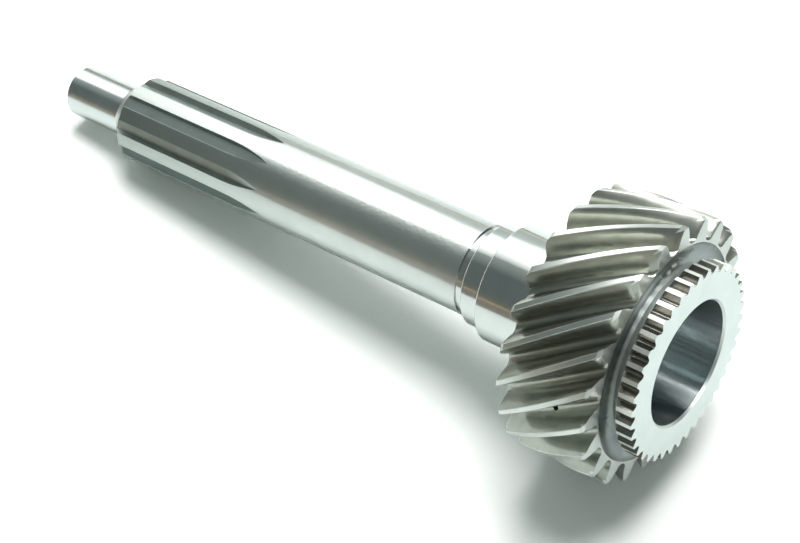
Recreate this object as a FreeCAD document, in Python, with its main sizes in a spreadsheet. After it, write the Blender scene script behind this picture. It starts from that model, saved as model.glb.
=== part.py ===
# Gearbox input shaft, turned and hobbed from one piece of steel, lying on a flat surface.
#
# In its own body the shaft's axis is the Z axis.  z = 0 is the end face of the clutch-tooth
# ring, and z grows towards the pilot.  The body's X axis is the side that ends up on top.
# The placement at the end lays the shaft down on two corners of the gear teeth and on the
# front edge of one spline land, so that the pilot hangs just clear of the surface.
import FreeCAD, Part
import math
import os
import Sketcher

NODE = "input_shaft"

# Driving sizes: lengths in millimetres along or from the shaft's axis, and angles in degrees.
SIZES = {
    "overall_length": 235.5,  # end face to pilot end
    "dog_length": 4.95,  # clutch teeth, measured at their tips
    "dog_back_slope": 0.8,  # slope on the back of the clutch teeth
    "neck_length": 2.05,  # neck between the clutch teeth and the gear
    "gear_width": 29.2,  # face width of the gear
    "journal_length": 22.8,  # bearing journal, from the gear to its front edge
    "seat_length": 6.9,  # narrow seat in front of the journal
    "undercut_width": 3.0,  # undercut in front of that seat
    "spline_length": 44.6,  # spline at its full depth
    "spline_runout": 15.4,  # run-out of the spline spaces behind that
    "nose_length": 29.9,  # cone and pilot in front of the spline

    "body_radius": 14.2875,  # shaft body and outside of the spline
    "pilot_radius": 8.5,  # pilot
    "pilot_chamfer": 0.6,  # chamfer on the end of the pilot
    "front_fillet": 3.0,  # fillet between the front cone and the pilot
    "undercut_depth": 0.4875,  # depth of the undercut
    "seat_radius": 15.85,  # narrow seat in front of the journal
    "journal_radius": 18.2,  # bearing journal
    "journal_fillet": 0.8,  # fillet between the journal and the gear
    "edge_chamfer": 0.5,  # chamfers on the ground seats
    "dog_tip_radius": 29.1,  # tips of the clutch teeth
    "dog_root_radius": 27.1,  # roots of the clutch teeth
    "neck_radius": 25.8,  # neck where it meets the gear face
    "relief_rim": 0.5,  # rim left between the relief in the gear face and the tooth roots
    "relief_depth": 1.9,  # depth of that relief

    "gear_teeth": 22,  # teeth on the gear
    "gear_pitch_radius": 36.7,  # pitch circle of the gear
    "addendum": 3.2,  # pitch circle to tooth tips
    "dedendum": 3.5,  # pitch circle to roots
    "tip_helix_angle": 37.2,  # helix angle at the gear tips, left hand
    "pressure_angle": 23.8,  # transverse pressure angle
    "tooth_thinning": 0.2,  # half angle taken off each gear tooth for backlash
    "root_fillet_rise": 0.9,  # root to the start of a flank
    "space_clearance": 0.8,  # how far the tooth-space cut stands clear of the tips
    "space_overrun": 3.0,  # how far the tooth-space cut runs past each gear face
    "tip_chamfer_length": 1.05,  # tip chamfer on the clutch side, along the axis
    "tip_chamfer_depth": 0.8,  # tip chamfer on the clutch side, radially
    "tip_round": 1.7,  # rounded tooth corners on the shaft side
    "land_bevel": 0.2,  # bevel along each edge of a tooth's tip land
    "bevel_overlap": 0.05,  # how far a bevel cut reaches into the tooth space
    "end_bevel": 0.65,  # bevel on the blunt edges of the teeth, on both gear faces

    "spline_count": 10,  # spline teeth
    "spline_width": 4.4577,  # width of a spline tooth, sides parallel: 0.156 of the outside diameter
    "spline_depth": 2.00025,  # depth of the spline spaces: 0.070 of it
    "spline_phase": 13.5,  # first spline space, from the top
    "spline_clearance": 1.2,  # how far the spline cut stands proud of the shaft
    "runout_overlap": 0.5,  # how far the run-out cut reaches into the full-depth one

    "dog_teeth": 40,  # clutch teeth
    "dog_tip_angle": 2.6,  # angle that a clutch-tooth tip takes
    "dog_floor_angle": 2.7,  # angle between the ends of a clutch-space floor
    "dog_floor_round": 0.4,  # rise of that rounded floor at its ends
    "dog_phase": 3.27,  # first clutch space, from the top
    "dog_cut_reach": 1.6,  # clutch-space cut over the tooth depth
    "dog_cut_overrun": 1.2,  # how far the clutch-space cut runs past the ring at each end

    "bore_radius": 18.7,  # pocket bore
    "bore_lip": 0.55,  # chamfer at the mouth of the bore, radially
    "bore_chamfer": 0.7,  # chamfer at the mouth of the bore, along the axis
    "bore_floor": 7.0,  # floor of the bore to the gear face on the shaft side
    "bore_corner": 1.0,  # turned corner at the bottom of the bore
    "end_clearance": 1.0,  # how far a bored cut starts outside an end face
    "centre_mouth_radius": 3.0,  # mouth of a centre hole
    "centre_drill_radius": 1.25,  # drilled part of a centre hole
    "centre_depth": 6.5,  # depth of a centre hole
    "centre_half_angle": 30.0,  # half angle of a centre hole's cone
    "oil_hole_radius": 1.1,  # radial oil holes into the pocket bore
    "oil_hole_station": 21.4,  # station of the oil holes
    "oil_hole_pitches": 6,  # tooth pitches from the top space to the oil hole

    "corner_reach": 0.0126,  # what a twisted tooth corner adds to its reach towards the floor
    "rest_roll": 0.295,  # roll that brings both resting tooth corners down
}

doc = FreeCAD.newDocument("InputShaft")
sheet = doc.addObject("Spreadsheet::Sheet", "Sizes")
rows = []


def fill_row(alias, value):
    """Put a size, or a formula that starts with =, in the sheet under its alias."""
    rows.append(alias)
    sheet.set("A%d" % len(rows), alias)
    sheet.set("B%d" % len(rows), str(value))
    sheet.setAlias("B%d" % len(rows), alias)


for alias, value in SIZES.items():
    fill_row(alias, value)

# Places along the axis and round it that follow from those sizes.
fill_row("dog_root_length", "=dog_length + dog_back_slope")  # clutch teeth, measured at their roots
fill_row("gear_start", "=dog_root_length + neck_length")  # gear face on the clutch side
fill_row("gear_end", "=gear_start + gear_width")  # gear face on the shaft side
fill_row("bore_depth", "=gear_end - bore_floor")  # depth of the pocket bore
fill_row("bore_rim_radius", "=bore_radius + bore_lip")  # mouth of the bore's chamfer
fill_row("journal_end", "=gear_end + journal_length")  # front edge of the bearing journal
fill_row("seat_end", "=journal_end + seat_length")  # front edge of the narrow seat
fill_row("undercut_end", "=seat_end + undercut_width")  # front edge of the undercut
fill_row("undercut_radius", "=body_radius - undercut_depth")  # floor of the undercut
fill_row("spline_front", "=overall_length - nose_length")  # front edge of the spline lands
fill_row("spline_full", "=spline_front - spline_length")  # where the spline reaches its full depth

# Involute of the gear: half angle of a tooth space at a few radii.
fill_row("gear_tip_radius", "=gear_pitch_radius + addendum")  # gear tips
fill_row("gear_root_radius", "=gear_pitch_radius - dedendum")  # gear roots
fill_row("relief_radius", "=gear_root_radius - relief_rim")  # outer edge of the relief in the gear face
fill_row("space_outer_radius", "=gear_tip_radius + space_clearance")  # outer end of a tooth-space cut
fill_row("bevel_start_radius", "=gear_tip_radius - land_bevel")  # where a flank meets its land bevel
fill_row("flank_start_radius", "=gear_root_radius + root_fillet_rise")  # where a flank leaves the root
fill_row("flank_mid_radius", "=(flank_start_radius + bevel_start_radius) / 2")  # middle of a flank
fill_row("gear_pitch_angle", "=360 / gear_teeth")  # angle from tooth to tooth
fill_row("base_radius", "=gear_pitch_radius * cos(pressure_angle)")  # base circle
fill_row("pitch_involute", "=tan(pressure_angle) * 180 / pi - pressure_angle")  # involute angle, pitch
# The pressure angle and the half angle of a tooth space, at three radii along a flank.
for place in ("flank_start", "flank_mid", "bevel_start"):
    fill_row(place + "_slope", "=acos(base_radius / %s_radius) / 1 deg" % place)
    fill_row(
        place + "_space",
        "=gear_pitch_angle / 4 + tooth_thinning - pitch_involute"
        " + tan({0}_slope) * 180 / pi - {0}_slope".format(place),
    )
# The half angle between the bevels of two lands, on the lands and outside them.
for place, radius in (("land", "gear_tip_radius"), ("outer", "space_outer_radius")):
    fill_row(
        place + "_space",
        "=bevel_start_space + ({0} - bevel_start_radius) / {0} * 180 / pi".format(radius),
    )
fill_row("twist", "=tan(tip_helix_angle) / gear_tip_radius * 180 / pi")  # degrees of twist per millimetre

# Rest: the tooth corners at this station are level with the front edge of a spline land.
fill_row("rest_station", "=gear_end - tip_round")  # end of the full tooth tips on the shaft side
fill_row("corner_offset", "=land_space")  # angle from the lowest line to a resting corner
fill_row("rest_length", "=spline_front - rest_station")  # distance between the resting places
# The tilt with sharp tooth corners, then how far a rounded corner reaches towards the floor.
fill_row(
    "rough_tilt", "=atan((gear_tip_radius * cos(corner_offset) - body_radius) / rest_length) / 1 deg"
)
fill_row("round_reach", "=tip_round * sqrt(1 - (sin(corner_offset) * cos(rough_tilt))^2)")
# The tilt of the axis, down towards the pilot.
fill_row(
    "rest_tilt",
    "=atan(((gear_tip_radius - tip_round) * cos(corner_offset)"
    " + (round_reach + corner_reach) / cos(rough_tilt) - body_radius) / rest_length) / 1 deg",
)
# The centre of the end face: its height, and its distance along the floor from the middle.
fill_row("rest_height", "=spline_front * sin(rest_tilt) + body_radius * cos(rest_tilt)")
fill_row(
    "rest_reach",
    "=(overall_length * cos(rest_tilt)"
    " + (pilot_radius - pilot_chamfer - dog_tip_radius) * sin(rest_tilt)) / 2",
)
doc.recompute()

shaft = doc.addObject("PartDesign::Body", "TurnedShaft")
spaces = doc.addObject("PartDesign::Body", "GearToothSpaces")


def origin_feature(body, role):
    """One plane or axis of a body's origin."""
    return [item for item in body.Origin.OriginFeatures if item.Role == role][0]


def new_sketch(body, name, plane, height="0", turn="0"):
    """A sketch on one of a body's planes, raised along Z and turned about Z."""
    sketch = body.newObject("Sketcher::SketchObject", name)
    sketch.AttachmentSupport = (origin_feature(body, plane), "")
    sketch.MapMode = "FlatFace"
    spin_axis = {"XY_Plane": FreeCAD.Vector(0, 0, 1), "YZ_Plane": FreeCAD.Vector(0, 1, 0)}
    if plane in spin_axis:
        sketch.AttachmentOffset = FreeCAD.Placement(
            FreeCAD.Vector(0, 0, 0), FreeCAD.Rotation(spin_axis[plane], 10)
        )
        sketch.setExpression("AttachmentOffset.Rotation.Angle", named(turn + " + rest_roll"))
    if height != "0":
        sketch.setExpression("AttachmentOffset.Base.z", named(height))
    return sketch


def named(text):
    """The same formula with every size's alias written as a cell of the sheet."""
    words = []
    word = ""
    for letter in text + " ":
        if letter.isalnum() or letter == "_":
            word += letter
            continue
        words.append("Sizes." + word if word in rows else word)
        words.append(letter)
        word = ""
    return "".join(words).strip()


def place_point(sketch, item, end, x, y):
    """Hold one end of a curve at formulas x and y, from the sketch's origin."""
    for kind, formula, axis in (("DistanceX", x, -2), ("DistanceY", y, -1)):
        amount = float(sketch.evalExpression(named(formula)))
        if abs(amount) < 1e-9:
            sketch.addConstraint(Sketcher.Constraint("PointOnObject", item, end, axis))
        elif amount > 0:
            number = sketch.addConstraint(Sketcher.Constraint(kind, -1, 1, item, end, amount))
            sketch.setExpression("Constraints[%d]" % number, named(formula))
        else:
            number = sketch.addConstraint(Sketcher.Constraint(kind, item, end, -1, 1, -amount))
            sketch.setExpression("Constraints[%d]" % number, named("-(%s)" % formula))


def arc_through(start, middle, end):
    """The arc of a circle through three points, and whether it runs anticlockwise."""
    edge = Part.Arc(start, middle, end).toShape()
    centre = edge.Curve.Center
    turn = (middle - start).cross(end - middle).z
    flat = Part.Circle(centre, FreeCAD.Vector(0, 0, 1), edge.Curve.Radius)
    first, last = (start, end) if turn > 0 else (end, start)
    angle_first = math.atan2(first.y - centre.y, first.x - centre.x)
    angle_last = math.atan2(last.y - centre.y, last.x - centre.x)
    if angle_last < angle_first:
        angle_last += 2 * math.pi
    return Part.ArcOfCircle(flat, angle_first, angle_last), turn > 0


def closed_outline(sketch, corners):
    """Join corners into one closed outline.

    A corner is (x, y) for a straight edge to the next one, or (x, y, mid_x, mid_y) for an
    arc to the next one that passes through the middle point.
    """
    points = []
    for corner in corners:
        values = [float(sketch.evalExpression(named(text))) for text in corner]
        points.append(values)
    edges = []
    for number, values in enumerate(points):
        start = FreeCAD.Vector(values[0], values[1], 0)
        following = points[(number + 1) % len(points)]
        end = FreeCAD.Vector(following[0], following[1], 0)
        if len(values) == 2:
            item = sketch.addGeometry(Part.LineSegment(start, end), False)
            edges.append((item, 1, 2))
        else:
            arc, forward = arc_through(start, FreeCAD.Vector(values[2], values[3], 0), end)
            item = sketch.addGeometry(arc, False)
            edges.append((item, 1, 2) if forward else (item, 2, 1))
    for number, (item, first, last) in enumerate(edges):
        next_item, next_first, next_last = edges[(number + 1) % len(edges)]
        sketch.addConstraint(Sketcher.Constraint("Coincident", item, last, next_item, next_first))
    for number, corner in enumerate(corners):
        item, first, last = edges[number]
        place_point(sketch, item, first, corner[0], corner[1])
        if len(corner) == 4:
            spot = FreeCAD.Vector(points[number][2], points[number][3], 0)
            guide = sketch.addGeometry(Part.Point(spot), True)
            place_point(sketch, guide, 1, corner[2], corner[3])
            sketch.addConstraint(Sketcher.Constraint("PointOnObject", guide, 1, item))


def mirrored(half):
    """Corners of an outline that is symmetric about the sketch's X axis, from its upper half."""
    lower = [(x, "-(%s)" % y) for x, y in reversed(half)]
    return list(half) + lower


def repeat(body, name, features, count):
    """Copy features evenly around the shaft's axis."""
    doc.recompute()
    pattern = body.newObject("PartDesign::PolarPattern", name)
    pattern.Originals = features
    pattern.Axis = (origin_feature(body, "Z_Axis"), [""])
    pattern.Angle = 360
    pattern.setExpression("Occurrences", named(count))
    body.Tip = pattern
    return pattern


def turn_blank():
    """The shaft as turned, before any teeth, splines or bores are cut."""
    sketch = new_sketch(shaft, "BlankProfile", "XZ_Plane")
    cone_corner = "spline_front + body_radius - pilot_radius"
    half_turn = "22.5"
    corners = [
        ("0", "0"),
        ("dog_tip_radius", "0"),
        ("dog_tip_radius", "dog_length"),
        ("dog_root_radius", "dog_root_length"),
        ("neck_radius", "gear_start", "(neck_radius + relief_radius) / 2", "gear_start + relief_depth"),
        ("relief_radius", "gear_start"),
        ("gear_tip_radius - tip_chamfer_depth", "gear_start"),
        ("gear_tip_radius", "gear_start + tip_chamfer_length"),
        (
            "gear_tip_radius",
            "rest_station",
            "gear_tip_radius - tip_round * (1 - cos(45))",
            "rest_station + tip_round * sin(45)",
        ),
        ("gear_tip_radius - tip_round", "gear_end"),
        (
            "journal_radius + journal_fillet",
            "gear_end",
            "journal_radius + journal_fillet * (1 - cos(45))",
            "gear_end + journal_fillet * (1 - sin(45))",
        ),
        ("journal_radius", "gear_end + journal_fillet"),
        ("journal_radius", "journal_end - edge_chamfer"),
        ("journal_radius - edge_chamfer", "journal_end"),
        ("seat_radius", "journal_end"),
        ("seat_radius", "seat_end - edge_chamfer"),
        ("seat_radius - edge_chamfer", "seat_end"),
        ("undercut_radius", "seat_end"),
        ("undercut_radius", "undercut_end"),
        ("body_radius", "undercut_end"),
        ("body_radius", "spline_front"),
        (
            "pilot_radius + front_fillet * (1 - cos(45))",
            cone_corner + " - front_fillet * (1 - cos(45))",
            "pilot_radius + front_fillet * (1 - cos(%s))" % half_turn,
            cone_corner + " + front_fillet * (tan({0}) - sin({0}))".format(half_turn),
        ),
        ("pilot_radius", cone_corner + " + front_fillet * tan(%s)" % half_turn),
        ("pilot_radius", "overall_length - pilot_chamfer"),
        ("pilot_radius - pilot_chamfer", "overall_length"),
        ("0", "overall_length"),
    ]
    closed_outline(sketch, corners)
    blank = shaft.newObject("PartDesign::Revolution", "Blank")
    blank.Profile = sketch
    blank.ReferenceAxis = (sketch, ["V_Axis"])
    blank.Angle = 360
    return blank


def bore_pocket():
    """The blind pocket bore, its lead-in chamfer and the centre hole in its floor."""
    sketch = new_sketch(shaft, "BoreProfile", "XZ_Plane")
    lead = "(bore_rim_radius - bore_radius) / bore_chamfer"
    corners = [
        ("0", "-end_clearance"),
        ("bore_rim_radius + end_clearance * " + lead, "-end_clearance"),
        ("bore_radius", "bore_chamfer"),
        ("bore_radius", "bore_depth - bore_corner"),
        ("bore_radius - bore_corner", "bore_depth"),
        ("centre_mouth_radius", "bore_depth"),
        (
            "centre_drill_radius",
            "bore_depth + (centre_mouth_radius - centre_drill_radius) / tan(centre_half_angle)",
        ),
        ("centre_drill_radius", "bore_depth + centre_depth"),
        ("0", "bore_depth + centre_depth + centre_drill_radius / 2"),
    ]
    closed_outline(sketch, corners)
    bore = shaft.newObject("PartDesign::Groove", "PocketBore")
    bore.Profile = sketch
    bore.ReferenceAxis = (sketch, ["V_Axis"])
    bore.Angle = 360
    return bore


def drill_pilot_centre():
    """The centre hole in the end of the pilot."""
    sketch = new_sketch(shaft, "PilotCentreProfile", "XZ_Plane")
    corners = [
        ("0", "overall_length + end_clearance"),
        (
            "centre_mouth_radius + end_clearance * tan(centre_half_angle)",
            "overall_length + end_clearance",
        ),
        (
            "centre_drill_radius",
            "overall_length"
            " - (centre_mouth_radius - centre_drill_radius) / tan(centre_half_angle)",
        ),
        ("centre_drill_radius", "overall_length - centre_depth"),
        ("0", "overall_length - centre_depth - centre_drill_radius / 2"),
    ]
    closed_outline(sketch, corners)
    hole = shaft.newObject("PartDesign::Groove", "PilotCentre")
    hole.Profile = sketch
    hole.ReferenceAxis = (sketch, ["V_Axis"])
    hole.Angle = 360
    return hole


def tooth_space_section(name, station, widen_up="0", widen_down="0", lift="0"):
    """The outline of one gear tooth space: involute flanks, round root and beveled land edges.

    widen_up and widen_down are how far its two flanks stand back into the metal, and lift is
    how far its root stands clear of it.
    """
    turn = "twist * (rest_station - (%s))" % station
    sketch = new_sketch(spaces, name, "XY_Plane", station, turn)

    def flank(sign, widen):
        points = []
        for place in ("outer", "bevel_start", "flank_mid", "flank_start"):
            radius = "space_outer_radius" if place == "outer" else place + "_radius"
            half = "(%s_space + (%s) / %s * 180 / pi)" % (place, widen, radius)
            points.append(("%s * cos(%s)" % (radius, half), "%s%s * sin(%s)" % (sign, radius, half)))
        return points

    outer_up, bevel_up, middle_up, start_up = flank("", widen_up)
    outer_down, bevel_down, middle_down, start_down = flank("-", widen_down)
    corners = [
        outer_up,
        bevel_up + middle_up,
        start_up + ("gear_root_radius + " + lift, "0"),
        start_down + middle_down,
        bevel_down,
        outer_down,
    ]
    closed_outline(sketch, corners)
    return sketch


def loft_space(name, sections):
    """Fill in between outlines of a tooth space."""
    filled = spaces.newObject("PartDesign::AdditiveLoft", name)
    filled.Profile = sections[0]
    filled.Sections = sections[1:]
    filled.Ruled = len(sections) == 2
    filled.Closed = False
    return filled


def fill_tooth_spaces():
    """Solid filling of the helical tooth spaces, copied round the gear.

    At each gear face a short flare bevels the blunt edge, where a flank leans away from the face.
    """
    cut_start = "gear_start - space_overrun"
    cut_length = "(gear_width + 2 * space_overrun)"
    sections = []
    for step in range(4):
        station = "%s + %s * %d / 3" % (cut_start, cut_length, step)
        sections.append(tooth_space_section("ToothSpace%d" % step, station))
    loft_space("ToothSpace", sections)
    wide = "2 * end_bevel"
    inside = "-bevel_overlap"
    reach = "(end_bevel + bevel_overlap)"
    flares = (
        ("ClutchSide", "gear_start - end_bevel", "gear_start + " + reach, wide, inside),
        ("ShaftSide", "gear_end + end_bevel", "gear_end - " + reach, inside, wide),
    )
    for name, outer_station, inner_station, widen_up, widen_down in flares:
        mouth = tooth_space_section(name + "Mouth", outer_station, widen_up, widen_down, "bevel_overlap")
        throat = tooth_space_section(name + "Throat", inner_station, inside, inside, "bevel_overlap")
        loft_space(name + "Bevel", [mouth, throat])
    pattern = repeat(spaces, "GearSpaces", [], "gear_teeth")
    pattern.TransformMode = "Whole shape"
    return pattern


def spline_space_section(name, station, share):
    """The outline of one spline space at a station where its depth is a share of the full one."""
    sketch = new_sketch(shaft, name, "XY_Plane", station, "spline_phase")
    half_pitch = "(180 / spline_count)"
    surface_half = "(%s - asin(spline_width / 2 / body_radius) / 1 deg)" % half_pitch
    floor_radius = "(body_radius - spline_depth)"
    floor_half = "(%s - asin(spline_width / 2 / %s) / 1 deg)" % (half_pitch, floor_radius)
    surface_width = "body_radius * sin(%s)" % surface_half
    floor_width = "%s * sin(%s)" % (floor_radius, floor_half)
    surface_x = "body_radius * cos(%s)" % surface_half
    floor_x = "%s * cos(%s)" % (floor_radius, floor_half)
    slope = "((%s - %s) / (%s - %s))" % (surface_width, floor_width, surface_x, floor_x)
    rise = "spline_clearance"
    upper_x = "%s + %s" % (surface_x, rise)
    part_floor_x = "body_radius - (body_radius - %s) * %s" % (floor_x, share)
    part_floor = "%s * %s" % (floor_width, share)
    part_upper = "%s * %s + (%s) * %s" % (surface_width, share, rise, slope)
    closed_outline(sketch, mirrored([(upper_x, part_upper), (part_floor_x, part_floor)]))
    return sketch


def cut_spline():
    """Spline spaces: straight from the front, then running out to a point on the body."""
    straight = spline_space_section("SplineSpace", "spline_full", "1")
    channel = shaft.newObject("PartDesign::Pocket", "SplineChannel")
    channel.Profile = straight
    channel.Type = 0
    channel.Reversed = True
    channel.setExpression("Length", named("spline_front - spline_full + 3 * spline_depth"))
    # The depth falls off as the square of the way along the run-out, down to a sliver.
    sections = [spline_space_section("Runout0", "spline_full + runout_overlap", "1")]
    for number, along in enumerate((0.35, 0.65, 0.88, 1.0), 1):
        share = max(1.0 - along ** 2, 0.012)
        station = "spline_full - spline_runout * %.2f" % along
        sections.append(spline_space_section("Runout%d" % number, station, "%.4f" % share))
    runout = shaft.newObject("PartDesign::SubtractiveLoft", "SplineRunout")
    runout.Profile = sections[0]
    runout.Sections = sections[1:]
    runout.Ruled = False
    runout.Closed = False
    return repeat(shaft, "Splines", [channel, runout], "spline_count")


def cut_clutch_teeth():
    """Short straight clutch teeth with rounded floors, cut into the ring on the end face."""
    start = "dog_root_length + dog_cut_overrun"
    sketch = new_sketch(shaft, "ClutchSpace", "XY_Plane", start, "dog_phase")
    floor_end = "(dog_root_radius + dog_floor_round)"
    floor_half = "(dog_floor_angle / 2)"
    tip_half = "((360 / dog_teeth - dog_tip_angle) / 2)"
    floor_x = "%s * cos(%s)" % (floor_end, floor_half)
    floor_y = "%s * sin(%s)" % (floor_end, floor_half)
    outer_x = "{0} + dog_cut_reach * (dog_tip_radius * cos({1}) - {0})".format(floor_x, tip_half)
    outer_y = "{0} + dog_cut_reach * (dog_tip_radius * sin({1}) - {0})".format(floor_y, tip_half)
    corners = [
        (outer_x, outer_y),
        (floor_x, floor_y, "dog_root_radius", "0"),
        (floor_x, "-(%s)" % floor_y),
        (outer_x, "-(%s)" % outer_y),
    ]
    closed_outline(sketch, corners)
    space = shaft.newObject("PartDesign::Pocket", "ClutchSpaceCut")
    space.Profile = sketch
    space.Type = 0
    space.Reversed = False
    space.setExpression("Length", named(start + " + dog_cut_overrun"))
    return repeat(shaft, "ClutchTeeth", [space], "dog_teeth")


def drill_oil_holes():
    """Two opposed radial holes from the roots of the gear into the pocket bore."""
    turn = "twist * (rest_station - oil_hole_station) - oil_hole_pitches * gear_pitch_angle"
    sketch = new_sketch(shaft, "OilHole", "YZ_Plane", "0", turn)
    centre = float(sketch.evalExpression(named("oil_hole_station")))
    circle = Part.Circle(FreeCAD.Vector(0, centre, 0), FreeCAD.Vector(0, 0, 1), 1.0)
    item = sketch.addGeometry(circle, False)
    place_point(sketch, item, 3, "0", "oil_hole_station")
    number = sketch.addConstraint(Sketcher.Constraint("Radius", item, 1.0))
    sketch.setExpression("Constraints[%d]" % number, named("oil_hole_radius"))
    holes = shaft.newObject("PartDesign::Pocket", "OilHoles")
    holes.Profile = sketch
    holes.Type = 0
    holes.Midplane = True
    holes.setExpression("Length", named("2 * space_outer_radius"))
    return holes


last_volume = None
for step in (turn_blank, bore_pocket, drill_pilot_centre, cut_spline, cut_clutch_teeth, drill_oil_holes):
    shaft.Tip = step()
    doc.recompute()
    volume = shaft.Shape.Volume
    if last_volume is not None and volume >= last_volume:
        raise RuntimeError("%s took no material away" % step.__name__)
    last_volume = volume
fill_tooth_spaces()
doc.recompute()

part = doc.addObject("Part::Cut", NODE)
part.Label = NODE
part.Base = shaft
part.Tool = spaces
part.Placement = FreeCAD.Placement(
    FreeCAD.Vector(1, 0, 1), FreeCAD.Rotation(FreeCAD.Vector(0, 1, 0), -98)
)
part.setExpression("Placement.Base.x", named("rest_reach"))
part.setExpression("Placement.Base.z", named("rest_height"))
part.setExpression("Placement.Rotation.Angle", named("-(90 + rest_tilt)"))
doc.recompute()

for item in doc.Objects:
    if "Invalid" in item.State or "Error" in item.State:
        raise RuntimeError("%s did not build: %s" % (item.Name, item.State))
if part.Shape.isNull() or not part.Shape.isValid() or len(part.Shape.Solids) != 1:
    raise RuntimeError("the shaft is not one sound solid")
if part.Shape.Volume >= last_volume:
    raise RuntimeError("the gear teeth took no material away")

os.makedirs("parts", exist_ok=True)
part.Shape.exportStep(os.path.join("parts", NODE + ".step"))
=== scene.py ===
import bpy
import math
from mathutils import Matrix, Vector


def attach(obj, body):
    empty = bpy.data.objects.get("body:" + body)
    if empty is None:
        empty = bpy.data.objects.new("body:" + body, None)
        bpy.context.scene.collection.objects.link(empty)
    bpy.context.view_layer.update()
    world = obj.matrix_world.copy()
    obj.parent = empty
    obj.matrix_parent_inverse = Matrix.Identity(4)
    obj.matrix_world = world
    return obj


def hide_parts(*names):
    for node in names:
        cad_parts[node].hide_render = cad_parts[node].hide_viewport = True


MM = 0.001
# The shaft lies on the sheet: the centre of its clutch-tooth end face, and its tilt down to the pilot.
END_FACE = Vector((114.907, 0.0, 44.399)) * MM
TILT = math.radians(8.4654)
TO_PILOT = Vector((-math.cos(TILT), 0.0, -math.sin(TILT)))
# Twist of the gear teeth, in degrees for each millimetre along the shaft.
TWIST = 1.0900

# Points of the shaft's mesh closer than the gap are merged, and edges flatter than the angle are smooth.
MERGE_GAP = 0.002 * MM
SMOOTH_ANGLE = math.radians(28)

# Bounds that tell one machined surface of the shaft from the next, in millimetres. First the
# stations, which are counted from the clutch-tooth end face.
FACE_END = 0.05
BORE_START = 0.75
MOUTH_END = 0.8
NECK_START = 5.0
CLUTCH_END = 7.75
GEAR_START = 7.85
TIP_CHAMFER_END = 8.95
RELIEF_END = 10.0
BORE_END = 31.0
ROUNDED_CORNERS_START = 36.2
SHAFT_SIDE_START = 36.9
SHAFT_SIDE_END = 37.6
GEAR_END = 38.0
JOURNAL_CHAMFERS_START = 45.0
BODY_START = 69.8
SPLINE_START = 145.0
CONE_START = 206.0
PILOT_START = 212.0
PILOT_CHAMFER_START = 230.0
# The same for the radii, from the shaft's axis outwards.
SPLINE_TOP = 14.2
BORE_TOP = 18.9
CLUTCH_BOTTOM = 25.6
NECK_TOP = 27.15
CLUTCH_TIP = 28.0
GEAR_ROOT = 32.75
TIP_CHAMFER_BOTTOM = 38.9
LAND_BOTTOM = 39.65
# How much of a face's normal runs along the axis, where the face is flat, slanting or a tooth corner.
FLAT = 0.985
SLANTING = (0.4, 0.9)
TOOTH_CORNER = 0.74
# How much of it points away from the axis, on the tips of the clutch teeth and of the gear teeth.
CLUTCH_TIP_OUTWARD = 0.9
LAND_OUTWARD = 0.93

# Centre of the arc of the relief groove in the gear's face: its radius, and its station.
GROOVE_RADIUS = 29.25 * MM
GROOVE_STATION = 5.618 * MM
# The groove's inner wall, next to the clutch teeth, is rougher, and its colour is painted paler:
# painted light on a wall that otherwise mirrors only the dark clutch teeth. It ends at this radius and
# goes over into the groove within the blend.
GROOVE_WALL = 26.35 * MM
WALL_BLEND = 0.3 * MM
WALL_PAINTED_LIGHT_COLOUR = "#979c9a"
WALL_ADDED_ROUGHNESS = 0.25

# Noise stays almost wholly between these values.
NOISE_LOW = 0.3
NOISE_HIGH = 0.7
NOISE_ROUGHNESS = 0.5
# Octaves of the noise that stands for tool marks, and of the one that stands for drift in the tone.
GRAIN_DETAIL = 1.0
STAIN_DETAIL = 2.0
# Roughness of the rubbed peaks of a satin surface.
PEAK_ROUGHNESS = 0.12

# The white sheet's side, and the foot of the perpendicular from the shaft's middle to its near edge.
SHEET_SIZE = 2.4
SHEET_EDGE = Vector((-0.1, -0.21, 0.0))
# The light is dimmer than full white, so the camera and the steel see the sheet this much paler.
SHEET_SEEN = 1.55
SHEET_MIRRORED = 1.3

# The camera, fitted to the photograph: metres, degrees and millimetres.
CAMERA_PLACE = (0.241184, -0.267177, 0.475717)
CAMERA_TURN = (36.8677, 2.6264, 36.8516)
CAMERA_LENS = 85.18
CAMERA_SENSOR = 36

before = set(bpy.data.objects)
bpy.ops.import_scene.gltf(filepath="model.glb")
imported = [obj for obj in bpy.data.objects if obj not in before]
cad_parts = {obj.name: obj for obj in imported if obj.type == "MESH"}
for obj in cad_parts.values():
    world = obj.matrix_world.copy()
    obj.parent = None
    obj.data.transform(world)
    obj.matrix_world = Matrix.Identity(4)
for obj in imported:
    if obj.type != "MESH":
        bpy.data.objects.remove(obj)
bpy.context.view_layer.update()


def linear(code):
    """An sRGB hex colour as the linear colour that shaders take."""
    parts = [int(code[place:place + 2], 16) / 255 for place in (1, 3, 5)]
    lines = [part / 12.92 if part <= 0.04045 else ((part + 0.055) / 1.055) ** 2.4 for part in parts]
    return tuple(lines) + (1.0,)


def node(tree, kind, settings=None, links=None):
    """Add a shader node: settings are its properties or sockets, links are sockets' sources."""
    made = tree.nodes.new("ShaderNode" + kind)
    for name, value in (settings or {}).items():
        if isinstance(name, str) and hasattr(made, name):
            setattr(made, name, value)
        else:
            made.inputs[name].default_value = value
    for name, source in (links or {}).items():
        tree.links.new(source, made.inputs[name])
    return made


def new_material(name):
    """An empty material of that name, and its node tree."""
    material = bpy.data.materials.new(name)
    material.use_nodes = True
    material.node_tree.nodes.clear()
    return material, material.node_tree


def station(place):
    """How far a point lies from the clutch-tooth end face, along the shaft, in millimetres."""
    return (place - END_FACE).dot(TO_PILOT) / MM


def off_axis(place):
    """How far a point lies from the shaft's axis, in millimetres."""
    arm = place - END_FACE
    return (arm - TO_PILOT * arm.dot(TO_PILOT)).length / MM


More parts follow.
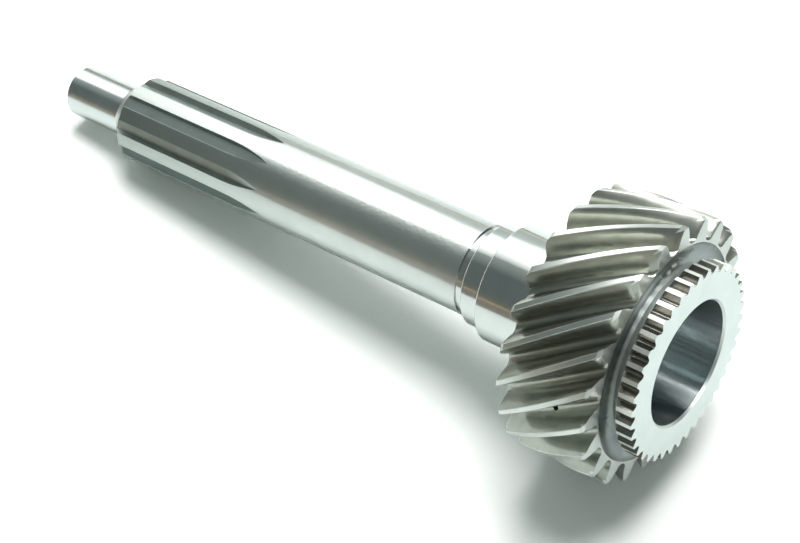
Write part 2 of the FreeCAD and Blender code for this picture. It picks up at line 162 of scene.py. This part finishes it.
def laid_over(tree, under, over, measure, none_at, all_at):
    """A colour that goes over into another as a measure goes from one value to the other.

    under is a hex colour or a socket, over is a hex colour, and measure is a socket.
    """
    share = node(tree, "MapRange", {"From Min": none_at, "From Max": all_at}, {"Value": measure})
    settings = {"data_type": "RGBA", 7: linear(over)}
    links = {0: share.outputs[0]}
    if isinstance(under, str):
        settings[6] = linear(under)
    else:
        links[6] = under
    return node(tree, "Mix", settings, links).outputs[2]


def shaft_place(tree):
    """Object coordinates turned so that X runs along the shaft from the end face, in metres."""
    turn = math.pi + TILT
    x = END_FACE.x * math.cos(turn) + END_FACE.z * math.sin(turn)
    z = -END_FACE.x * math.sin(turn) + END_FACE.z * math.cos(turn)
    place = node(tree, "TexCoord")
    return node(
        tree,
        "Mapping",
        {"Rotation": (0.0, turn, 0.0), "Location": (-x, -END_FACE.y, -z)},
        {"Vector": place.outputs["Object"]},
    ).outputs[0]


def helix_place(tree, place):
    """A place on the shaft turned back by the gear's twist, so that patterns follow the teeth."""
    along = node(tree, "SeparateXYZ", links={0: place}).outputs["X"]
    angle = node(tree, "Math", {"operation": "MULTIPLY", 1: math.radians(TWIST) / MM}, {0: along})
    return node(
        tree,
        "VectorRotate",
        {"rotation_type": "X_AXIS"},
        {"Vector": place, "Angle": angle.outputs[0]},
    ).outputs[0]


def stretched_noise(tree, place, size_mm, detail):
    """Noise whose grain has one size along the shaft and another across it."""
    along, across = size_mm
    scale = (1 / (along * MM), 1 / (across * MM), 1 / (across * MM))
    scaled = node(tree, "Mapping", {"Scale": scale}, {"Vector": place})
    return node(
        tree,
        "TexNoise",
        {"Scale": 1.0, "Detail": detail, "Roughness": NOISE_ROUGHNESS},
        {"Vector": scaled.outputs[0]},
    ).outputs["Fac"]


def arm_from_end(tree):
    """The vector from the centre of the end face to the point that is shaded."""
    place = node(tree, "TexCoord").outputs["Object"]
    return node(tree, "VectorMath", {"operation": "SUBTRACT", 1: END_FACE}, {0: place}).outputs[0]


def across_lay(tree):
    """The direction square to turning or grinding marks, which run round the shaft's axis."""
    round_way = node(
        tree, "VectorMath", {"operation": "CROSS_PRODUCT", 0: TO_PILOT}, {1: arm_from_end(tree)}
    ).outputs[0]
    normal = node(tree, "NewGeometry").outputs["Normal"]
    return node(tree, "VectorMath", {"operation": "CROSS_PRODUCT"}, {0: round_way, 1: normal}).outputs[0]


def groove_shape(tree):
    """The relief groove's true normal, which its mesh has in steps, and the distance from the axis."""
    arm = arm_from_end(tree)
    along = node(tree, "VectorMath", {"operation": "PROJECT", 1: TO_PILOT}, {0: arm}).outputs[0]
    out = node(tree, "VectorMath", {"operation": "SUBTRACT"}, {0: arm, 1: along}).outputs[0]
    distance = node(tree, "VectorMath", {"operation": "LENGTH"}, {0: out}).outputs["Value"]
    unit = node(tree, "VectorMath", {"operation": "NORMALIZE"}, {0: out}).outputs[0]
    ring = node(
        tree,
        "VectorMath",
        {"operation": "MULTIPLY_ADD", 1: [GROOVE_RADIUS] * 3, 2: TO_PILOT * GROOVE_STATION},
        {0: unit},
    ).outputs[0]
    to_centre = node(tree, "VectorMath", {"operation": "SUBTRACT"}, {0: ring, 1: arm}).outputs[0]
    normal = node(tree, "VectorMath", {"operation": "NORMALIZE"}, {0: to_centre}).outputs[0]
    return normal, distance


def add_painted_wall_light_and_roughness(tree, tone, rough, distance):
    """The groove's tone and roughness, with the inner wall's painted light and roughness laid over them.
    """
    inner = node(
        tree,
        "MapRange",
        {"From Min": GROOVE_WALL + WALL_BLEND, "From Max": GROOVE_WALL},
        {"Value": distance},
    ).outputs[0]
    # The inner wall's colour is painted paler than the groove's: painted light.
    tone = node(
        tree, "Mix", {"data_type": "RGBA", 7: linear(WALL_PAINTED_LIGHT_COLOUR)}, {0: inner, 6: tone}
    ).outputs[2]
    rough = node(
        tree, "Math", {"operation": "MULTIPLY_ADD", 1: WALL_ADDED_ROUGHNESS}, {0: inner, 2: rough}
    ).outputs[0]
    return tone, rough


def steel(
    name, colour, roughness, stain, grain,
    depth_mm=0.0, lay=0.0, twisted=False, groove=False, burnish=0.0, fade=None,
):
    """Machined steel.

    colour: two hex colours that the metal drifts between; roughness: its low and high value;
    stain: size of that drift along and across the shaft, in millimetres; grain: the same for the
    tool marks; depth_mm: how deep the marks look; lay: how much marks round the shaft spread a
    highlight along it; twisted: marks follow the gear's helix; groove: shaded as the relief's arc,
    with painted light on its inner wall; burnish: the share of the surface whose peaks have been
    rubbed smooth; fade: a colour that the metal goes over to, and the stations in millimetres where
    that starts and ends.
    """
    material, tree = new_material(name)
    place = shaft_place(tree)
    if twisted:
        place = helix_place(tree, place)
    marks = stretched_noise(tree, place, grain, GRAIN_DETAIL)
    drift = stretched_noise(tree, place, stain, STAIN_DETAIL)
    tone = laid_over(tree, colour[0], colour[1], drift, NOISE_LOW, NOISE_HIGH)
    if fade:
        far_colour, start, end = fade
        along = node(tree, "SeparateXYZ", links={0: place}).outputs["X"]
        tone = laid_over(tree, tone, far_colour, along, start * MM, end * MM)
    low, high = roughness
    rough = node(
        tree,
        "MapRange",
        {"From Min": NOISE_LOW, "From Max": NOISE_HIGH, "To Min": low, "To Max": high},
        {"Value": marks},
    ).outputs[0]
    links = {}
    if depth_mm:
        bump = node(tree, "Bump", {"Strength": 1.0, "Distance": depth_mm * MM}, {"Height": marks})
        links["Normal"] = bump.outputs[0]
    if groove:
        links["Normal"], distance = groove_shape(tree)
        # Here the relief's inner wall gets its painted light.
        tone, rough = add_painted_wall_light_and_roughness(tree, tone, rough, distance)
    lay_links = {"Tangent": across_lay(tree)} if lay else {}
    links.update({"Base Color": tone, "Roughness": rough})
    surface = node(
        tree, "BsdfPrincipled", {"Metallic": 1.0, "Anisotropic": lay}, {**links, **lay_links}
    )
    if burnish:
        peaks = node(
            tree,
            "BsdfPrincipled",
            {"Metallic": 1.0, "Roughness": PEAK_ROUGHNESS, "Anisotropic": lay},
            {"Base Color": tone, **lay_links},
        )
        surface = node(
            tree, "MixShader", {0: burnish}, {1: surface.outputs[0], 2: peaks.outputs[0]}
        )
    node(tree, "OutputMaterial", links={"Surface": surface.outputs[0]})
    return material


def copy_shaft():
    """A copy of the shaft's own mesh, merged and smoothed, to carry the machined finishes."""
    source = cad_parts["input_shaft"]
    bpy.ops.object.select_all(action="DESELECT")
    source.select_set(True)
    bpy.context.view_layer.objects.active = source
    bpy.ops.object.duplicate()
    copy = bpy.context.view_layer.objects.active
    copy.name = "machined_shaft"
    bpy.ops.object.mode_set(mode="EDIT")
    bpy.ops.mesh.select_all(action="SELECT")
    bpy.ops.mesh.remove_doubles(threshold=MERGE_GAP)
    bpy.ops.object.mode_set(mode="OBJECT")
    bpy.ops.mesh.customdata_custom_splitnormals_clear()
    bpy.ops.object.shade_smooth_by_angle(angle=SMOOTH_ANGLE)
    return copy


def gear_zone(s, r, facing, outward):
    """The name of the finish between the gear's tooth tips and its roots."""
    if r > LAND_BOTTOM or (r > TIP_CHAMFER_BOTTOM and s < TIP_CHAMFER_END):
        return "land" if outward > LAND_OUTWARD else "land_bevel"
    return "edge" if abs(facing) > TOOTH_CORNER and s > ROUNDED_CORNERS_START else "flank"


def clutch_zone(s, r, outward):
    """The name of the finish on the ring of clutch teeth."""
    if s > NECK_START and r < NECK_TOP:
        return "neck"
    return "clutch_tip" if outward > CLUTCH_TIP_OUTWARD and r > CLUTCH_TIP else "clutch"


def zone(s, r, facing, outward):
    """The name of the finish at a station and radius.

    facing and outward are the normal's shares along the axis and away from it.
    """
    gear_side = abs(facing) > FLAT and (s < GEAR_START or s > SHAFT_SIDE_START)
    slanting = SLANTING[0] < abs(facing) < SLANTING[1]
    if BORE_START < s < BORE_END and r < BORE_TOP:
        return "bore"
    if s < FACE_END:
        return "face"
    if s < CLUTCH_END and r > CLUTCH_BOTTOM:
        return clutch_zone(s, r, outward)
    if s < MOUTH_END:
        return "mouth"
    if s < GEAR_END and r > GEAR_ROOT and not gear_side:
        return gear_zone(s, r, facing, outward)
    if GEAR_START < s < RELIEF_END and r < GEAR_ROOT:
        return "relief"
    if s < SHAFT_SIDE_END:
        return "gear_face"
    if s < BODY_START:
        return "chamfer" if slanting and s > JOURNAL_CHAMFERS_START else "ground"
    if s < SPLINE_START:
        return "body"
    if s < CONE_START:
        return "body" if r > SPLINE_TOP else "spline"
    if s < PILOT_START:
        return "cone"
    return "chamfer" if slanting and s > PILOT_CHAMFER_START else "pilot"


# The shaft is one piece of case-hardened alloy steel, so its finishes differ in how each surface
# was made; some colours also carry painted highlights or painted shade, as said at each. Real tool
# marks are 0.02 to 0.2 mm wide, too fine to show at this size, so each finish draws them 0.8 mm
# coarse or more, as its last pair of sizes says.
FINISHES = {
    # Finish-turned, then rubbed satin with emery: a broad soft highlight over rubbed peaks, with a
    # colour that goes darker towards the spline. Its 0.1 mm grain is drawn 0.9 mm coarse.
    "body": steel(
        "satin_turned_steel", ("#cbcecb", "#c4c8c4"), (0.42, 0.48), (9, 9), (0.9, 0.9),
        depth_mm=0.05, lay=0.7, burnish=0.35, fade=("#a5aba7", 120.0, 205.0),
    ),
    # Cylindrically ground: nearly a mirror, its reflections drawn out along the shaft by the fine
    # lines round it. The lines are about 0.02 mm wide and are drawn 0.8 mm.
    "ground": steel(
        "ground_steel", ("#c9ccc9", "#c2c5c2"), (0.12, 0.145), (8, 8), (0.8, 9.0), lay=0.9,
    ),
    # Turned with a chamfering tool and left: matt, with its colour painted paler than the rest of the
    # steel, a painted highlight that reads as a pale line.
    "chamfer": steel(
        "turned_chamfer_painted_highlight_steel", ("#eceeec", "#e0e3e0"), (0.5, 0.55), (5, 5), (0.8, 5.0),
    ),
    # Ground and polished by its bearing: bright, a little softer than the journal.
    "pilot": steel(
        "polished_pilot_steel", ("#cacdcb", "#c3c7c5"), (0.19, 0.22), (8, 8), (0.8, 9.0), lay=0.7,
    ),
    # Turned: semi-bright, with feed lines of 0.1 mm drawn 0.8 mm.
    "cone": steel(
        "turned_cone_steel", ("#c8cbc8", "#bfc2bf"), (0.28, 0.32), (6, 6), (0.8, 5.0), lay=0.5,
    ),
    # Hobbed: semi-bright, with marks along the teeth. Its colour, used on the floors and walls of the
    # spline's grooves, is painted darker than the rest of the steel: painted shade in the grooves.
    "spline": steel(
        "hobbed_spline_painted_shade_steel", ("#a6aeab", "#9ba3a0"), (0.3, 0.32), (6, 6), (6.0, 1.5),
    ),
    # Hobbed and shaved, then hardened: warm grey and satin, a little clouded, with marks along the helix.
    "flank": steel(
        "shaved_flank_steel", ("#a6a9a0", "#9a9d94"), (0.34, 0.36), (4, 4), (3.0, 1.0),
        twisted=True, burnish=0.3,
    ),
    # The turned blank between the tooth spaces: a thin bright strip on each tooth.
    "land": steel(
        "turned_tooth_land_steel", ("#cdd0cb", "#c3c6c1"), (0.33, 0.36), (6, 6), (1.5, 6.0),
    ),
    # Deburred by a brush: matt and pale.
    "land_bevel": steel(
        "deburred_land_bevel_steel", ("#cdd0cd", "#c2c5c2"), (0.42, 0.46), (4, 4), (1.5, 1.5),
    ),
    # Brushed tooth corners: the most matt part of the gear, and the palest, as their colour is painted
    # paler than the rest of the steel, a painted highlight along the corners.
    "edge": steel(
        "brushed_tooth_edge_painted_highlight_steel", ("#e2e5e2", "#d8dbd8"), (0.45, 0.5), (4, 4), (1.5, 1.5),
    ),
    # Faced on a lathe: a soft gloss drawn out across its rings.
    "gear_face": steel(
        "turned_gear_face_steel", ("#b8bcb8", "#adb1ad"), (0.3, 0.34), (6, 6), (2.0, 6.0), lay=0.4,
    ),
    # Grooved with a round tool: smooth, and dark partly because it mirrors the dim room and partly
    # because its colour is painted darker than the rest of the steel as painted shade; its paler inner
    # wall is painted light.
    "relief": steel(
        "turned_relief_painted_shade_and_light_steel", ("#838a89", "#797f7e"), (0.27, 0.29), (6, 6), (2.0, 6.0), groove=True,
    ),
    # Turned cone under the clutch teeth: matt and pale.
    "neck": steel(
        "turned_neck_steel", ("#c6cac7", "#bbbfbc"), (0.5, 0.55), (6, 6), (2.0, 6.0),
    ),
    # Gear-shaped: small warm-grey floors and sides, bright enough to flash as they turn to the light.
    "clutch": steel(
        "shaped_clutch_tooth_steel", ("#98968f", "#87857f"), (0.24, 0.26), (3, 3), (3.0, 1.5),
    ),
    # The turned blank between the clutch teeth: matt, and its colour painted pale, a painted highlight
    # on the tops of the clutch teeth.
    "clutch_tip": steel(
        "turned_clutch_tip_painted_highlight_steel", ("#dfe1db", "#d3d5cf"), (0.45, 0.5), (3, 3), (3.0, 1.5),
    ),
    # Face-ground: an even pale gloss.
    "face": steel(
        "ground_end_face_steel", ("#ccd1cf", "#c5cbc9"), (0.32, 0.36), (7, 7), (1.5, 1.5),
    ),
    # Chamfered on a lathe: a soft bright line round the bore.
    "mouth": steel(
        "turned_bore_mouth_steel", ("#ccd1cf", "#c5cbc9"), (0.4, 0.44), (5, 5), (1.5, 5.0), lay=0.5,
    ),
    # Honed: bright, with reflections drawn out along it and faint straight lines of 0.1 mm, which
    # are drawn 1.2 mm wide. These lighter and darker lines in the colour are partly honing marks and
    # partly painted reflection bands along the bore.
    "bore": steel(
        "honed_bore_lines_and_painted_reflection_steel", ("#ccd3d4", "#adb5b6"), (0.22, 0.23), (300, 1.2), (12.0, 3.0), lay=1.0,
    ),
}


def dress_shaft():
    """Give each machined surface of the shaft its own finish."""
    shaft = copy_shaft()
    names = list(FINISHES)
    shaft.data.materials.clear()
    for name in names:
        shaft.data.materials.append(FINISHES[name])
    for face in shaft.data.polygons:
        centre, normal = face.center, face.normal
        outward = normal.dot((centre - END_FACE - TO_PILOT * station(centre) * MM).normalized())
        where = zone(station(centre), off_axis(centre), normal.dot(TO_PILOT), outward)
        face.material_index = names.index(where)
    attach(shaft, "root")
    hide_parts("input_shaft")


def white_paper():
    """Matt white card: it scatters light evenly, so it keeps the shaft's shadow and has no gloss."""
    material, tree = new_material("white_sheet")
    path = node(tree, "LightPath")
    paper = linear("#eaf0ee")
    seen = tuple(channel * SHEET_SEEN for channel in linear("#eeeeec"))
    mirrored = tuple(channel * SHEET_MIRRORED for channel in paper)
    shown = node(
        tree,
        "Mix",
        {"data_type": "RGBA", 6: paper, 7: mirrored},
        {0: path.outputs["Is Glossy Ray"]},
    )
    shown = node(
        tree,
        "Mix",
        {"data_type": "RGBA", 7: seen},
        {0: path.outputs["Is Camera Ray"], 6: shown.outputs[2]},
    )
    white = node(tree, "BsdfDiffuse", links={"Color": shown.outputs[2]})
    node(tree, "OutputMaterial", links={"Surface": white.outputs[0]})
    return material


def add_floor():
    """A white sheet that ends 0.2 to 0.3 m from the shaft on the near side."""
    bpy.ops.object.select_all(action="DESELECT")
    bpy.ops.mesh.primitive_plane_add(size=SHEET_SIZE, location=(0.0, 0.0, 0.0))
    floor = bpy.context.object
    floor.name = "white_sheet"
    bpy.ops.object.mode_set(mode="EDIT")
    bpy.ops.mesh.select_all(action="SELECT")
    bpy.ops.mesh.bisect(
        plane_co=SHEET_EDGE, plane_no=SHEET_EDGE.normalized(), clear_outer=True
    )
    bpy.ops.object.mode_set(mode="OBJECT")
    floor.data.materials.append(white_paper())


def bearing(azimuth, elevation):
    """The unit vector at an azimuth, counted from +X towards +Y, and an elevation, in degrees."""
    a, e = math.radians(azimuth), math.radians(elevation)
    return Vector((math.cos(a) * math.cos(e), math.sin(a) * math.cos(e), math.sin(e)))


def add_lamp(name, way, distance, shape, size, watts, colour="#ffffff"):
    """A softbox at a bearing from the shaft, facing it; distance and size are in metres."""
    bpy.ops.object.light_add(type="AREA", location=way * distance)
    lamp = bpy.context.object
    lamp.name = name
    lamp.data.shape = shape
    lamp.data.size, lamp.data.size_y = size
    lamp.data.energy = watts
    lamp.data.color = linear(colour)[:3]
    lamp.rotation_mode = "QUATERNION"
    lamp.rotation_quaternion = way.to_track_quat("Z", "Y")
    return lamp


def add_lamps():
    """A soft lamp overhead, and a window, a pale wall and a strip light behind the shaft."""
    add_lamp("ceiling_lamp", bearing(101, 69), 1.4, "DISK", (1.04, 1.04), 23.5)
    far_off = (
        add_lamp("window", bearing(148, 37), 1.4, "RECTANGLE", (1.02, 1.1), 5.0),
        add_lamp("pale_wall", bearing(114, 16), 1.5, "RECTANGLE", (0.8, 0.7), 1.2, "#e6f0ee"),
        add_lamp("strip_light", bearing(17, 51), 1.4, "RECTANGLE", (0.11, 1.0), 13.0),
    )
    # They stand for things far off in the room, so the sheet gets none of their light.
    for lamp in far_off:
        lamp.visible_diffuse = False


def room_colour(tree):
    """The dim room that the steel mirrors, part by part; heights are sines of the elevation."""
    way = node(tree, "TexCoord").outputs["Generated"]
    height = node(tree, "SeparateXYZ", links={0: way}).outputs["Z"]
    # How nearly a direction points to the lit part behind the shaft, and to the camera's side.
    behind = node(tree, "VectorMath", {"operation": "DOT_PRODUCT", 1: bearing(150, 46)}, {0: way})
    beside = node(tree, "VectorMath", {"operation": "DOT_PRODUCT", 1: bearing(-57, 3)}, {0: way})
    # How far a direction is from the height of a tan edge low in the room.
    from_edge = node(tree, "Math", {"operation": "SUBTRACT", 1: 0.06}, {0: height})
    from_edge = node(tree, "Math", {"operation": "ABSOLUTE"}, {0: from_edge.outputs[0]})
    room = laid_over(tree, "#707b7a", "#b4bfbd", behind.outputs["Value"], 0.74, 0.95)
    # The lower walls, and the room's floor beyond the sheet.
    room = laid_over(tree, room, "#7f8178", height, 0.28, 0.12)
    room = laid_over(tree, room, "#9a948a", height, 0.07, 0.04)
    # A pale thing beside the camera, which the gear's upper flanks mirror, and the tan edge.
    room = laid_over(tree, room, "#d3d6cb", beside.outputs["Value"], 0.86, 0.97)
    return laid_over(tree, room, "#ffe6b0", from_edge.outputs[0], 0.015, 0.008)


def add_room():
    """The world: the dim room for the steel and the sheet, and plain white for the camera."""
    world = bpy.data.worlds.new("room")
    bpy.context.scene.world = world
    world.use_nodes = True
    tree = world.node_tree
    tree.nodes.clear()
    path = node(tree, "LightPath")
    dim = node(tree, "Background", {"Strength": 1.0}, {"Color": room_colour(tree)})
    white = node(tree, "Background", {"Color": linear("#ffffff"), "Strength": 1.0})
    mix = node(
        tree,
        "MixShader",
        links={0: path.outputs["Is Camera Ray"], 1: dim.outputs[0], 2: white.outputs[0]},
    )
    node(tree, "OutputWorld", links={"Surface": mix.outputs[0]})


def add_camera():
    """The camera stands high over the gear end and looks down along the shaft."""
    bpy.ops.object.camera_add(location=CAMERA_PLACE)
    camera = bpy.context.object
    camera.name = "camera"
    camera.rotation_euler = [math.radians(angle) for angle in CAMERA_TURN]
    camera.data.sensor_width = CAMERA_SENSOR
    camera.data.lens = CAMERA_LENS
    camera.data.clip_start = 0.01
    camera.data.clip_end = 20
    bpy.context.scene.camera = camera


dress_shaft()
add_floor()
add_lamps()
add_room()
add_camera()
bpy.context.scene.view_settings.view_transform = "Standard"
